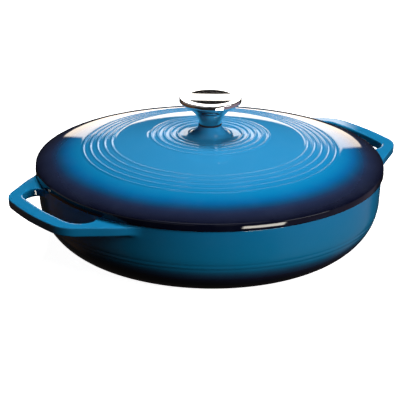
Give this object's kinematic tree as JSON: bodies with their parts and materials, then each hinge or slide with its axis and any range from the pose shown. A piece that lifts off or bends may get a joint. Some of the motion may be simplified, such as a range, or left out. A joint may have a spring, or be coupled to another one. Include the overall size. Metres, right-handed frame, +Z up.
{
  "type": "covered casserole dish",
  "caption": "Shallow round enamelled cast-iron casserole with loop handles at its sides and a domed, ringed lid that carries a turned metal knob.",
  "frame": {"origin": "centre of the flat base, on the supporting surface", "axes": "+Z up along the knob's axis; the two handles stand out along +X and -X"},
  "size_m": [0.3652, 0.3, 0.1291],
  "materials": {
    "pot_enamel": "gloss vitreous enamel, blue that darkens to black at the base",
    "lid_enamel": "gloss vitreous enamel, blue that darkens to navy at the edge",
    "knob_metal": "polished",
    "gasket_rubber": "matt",
    "fastener_steel": "satin"
  },
  "bodies": {
    "pot": {"pot": "pot_enamel", "handle_right": "pot_enamel", "handle_left": "pot_enamel"},
    "lid": {"lid": "lid_enamel", "knob": "knob_metal", "knob_gasket": "gasket_rubber", "knob_screw": "fastener_steel", "screw_washer": "fastener_steel"}
  },
  "joints": [
    {"name": "lid_lift", "type": "slide", "parent": "pot", "child": "lid", "axis": [0, 0, 1], "range_m": [0, 0.15]}
  ]
}
